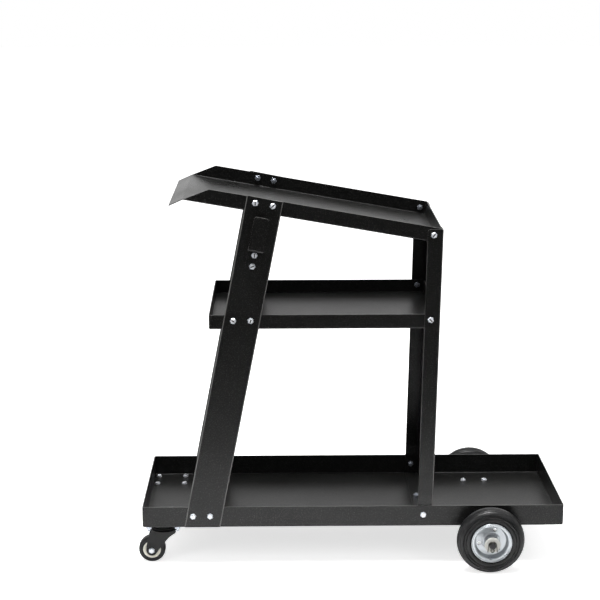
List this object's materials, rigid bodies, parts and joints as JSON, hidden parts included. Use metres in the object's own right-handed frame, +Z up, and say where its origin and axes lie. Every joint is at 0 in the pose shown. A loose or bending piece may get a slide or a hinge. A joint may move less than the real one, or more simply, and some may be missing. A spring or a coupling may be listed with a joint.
{
  "type": "welding cart",
  "caption": "Black sheet-steel welding cart with a sloping top tray, a middle and a long bottom tray on leaning uprights, swivel casters in front and larger wheels behind.",
  "frame": {"origin": "on the floor under the middle of the cart's outer box", "axes": "+X along the cart to the rear wheels, +Y across it to the right side, +Z up"},
  "size_m": [0.791, 0.3978, 0.7124],
  "materials": {
    "black_powder_coat": "fine textured matt black powder coat",
    "caster_black": "satin black on pressed steel",
    "zinc_fastener": "bright zinc plate",
    "rim_zinc": "dull zinc plate on pressed steel",
    "axle_black": "blackened steel",
    "tyre_rubber": "moulded black rubber with a slight sheen",
    "caster_rubber": "smooth black rubber",
    "cream_plastic": "moulded off-white plastic"
  },
  "bodies": {
    "frame": {"bottom_tray": "black_powder_coat", "middle_tray": "black_powder_coat", "top_tray": "black_powder_coat", "rear_foot_plate": "black_powder_coat", "front_upright_left": "black_powder_coat", "rear_upright_left": "black_powder_coat", "cable_hook_left": "black_powder_coat", "axle_bracket_left": "black_powder_coat", "front_upright_right": "black_powder_coat", "rear_upright_right": "black_powder_coat", "cable_hook_right": "black_powder_coat", "axle_bracket_right": "black_powder_coat", "bolt_bottom_front_1_left": "zinc_fastener", "bolt_bottom_front_2_left": "zinc_fastener", "bolt_middle_front_1_left": "zinc_fastener", "bolt_middle_front_2_left": "zinc_fastener", "bolt_top_front_1_left": "zinc_fastener", "bolt_top_front_2_left": "zinc_fastener", "bolt_hook_1_left": "zinc_fastener", "bolt_hook_2_left": "zinc_fastener", "bolt_bottom_rear_left": "zinc_fastener", "bolt_middle_rear_left": "zinc_fastener", "bolt_top_rear_left": "zinc_fastener", "bolt_bracket_front_left": "zinc_fastener", "bolt_bracket_rear_left": "zinc_fastener", "bolt_bottom_front_1_right": "zinc_fastener", "bolt_bottom_front_2_right": "zinc_fastener", "bolt_middle_front_1_right": "zinc_fastener", "bolt_middle_front_2_right": "zinc_fastener", "bolt_top_front_1_right": "zinc_fastener", "bolt_top_front_2_right": "zinc_fastener", "bolt_hook_1_right": "zinc_fastener", "bolt_hook_2_right": "zinc_fastener", "bolt_bottom_rear_right": "zinc_fastener", "bolt_middle_rear_right": "zinc_fastener", "bolt_top_rear_right": "zinc_fastener", "bolt_bracket_front_right": "zinc_fastener", "bolt_bracket_rear_right": "zinc_fastener", "bolt_foot_plate": "zinc_fastener", "rear_axle": "axle_black", "axle_spacer_left": "axle_black", "split_pin_left": "zinc_fastener", "caster_plate_left": "caster_black", "axle_spacer_right": "axle_black", "split_pin_right": "zinc_fastener", "caster_plate_right": "caster_black"},
    "caster_swivel_left": {"caster_fork_left": "caster_black", "caster_axle_bolt_left": "zinc_fastener"},
    "caster_wheel_left": {"caster_tyre_left": "caster_rubber", "caster_core_left": "cream_plastic"},
    "rear_wheel_left": {"rear_tyre_left": "tyre_rubber", "rear_rim_left": "rim_zinc", "rear_bush_left": "cream_plastic"},
    "caster_swivel_right": {"caster_fork_right": "caster_black", "caster_axle_bolt_right": "zinc_fastener"},
    "caster_wheel_right": {"caster_tyre_right": "caster_rubber", "caster_core_right": "cream_plastic"},
    "rear_wheel_right": {"rear_tyre_right": "tyre_rubber", "rear_rim_right": "rim_zinc", "rear_bush_right": "cream_plastic"}
  },
  "joints": [
    {"name": "caster_swivel_left", "type": "hinge", "parent": "frame", "child": "caster_swivel_left", "pos_m": [-0.3475, -0.104, 0.07], "axis": [0, 0, 1], "continuous": true},
    {"name": "caster_spin_left", "type": "hinge", "parent": "caster_swivel_left", "child": "caster_wheel_left", "pos_m": [-0.3705, -0.104, 0.025], "axis": [0, 1, 0], "continuous": true},
    {"name": "rear_wheel_spin_left", "type": "hinge", "parent": "frame", "child": "rear_wheel_left", "pos_m": [0.2577, -0.167, 0.0625], "axis": [0, 1, 0], "continuous": true},
    {"name": "caster_swivel_right", "type": "hinge", "parent": "frame", "child": "caster_swivel_right", "pos_m": [-0.3475, 0.104, 0.07], "axis": [0, 0, 1], "continuous": true},
    {"name": "caster_spin_right", "type": "hinge", "parent": "caster_swivel_right", "child": "caster_wheel_right", "pos_m": [-0.3705, 0.104, 0.025], "axis": [0, 1, 0], "continuous": true},
    {"name": "rear_wheel_spin_right", "type": "hinge", "parent": "frame", "child": "rear_wheel_right", "pos_m": [0.2577, 0.167, 0.0625], "axis": [0, 1, 0], "continuous": true}
  ]
}
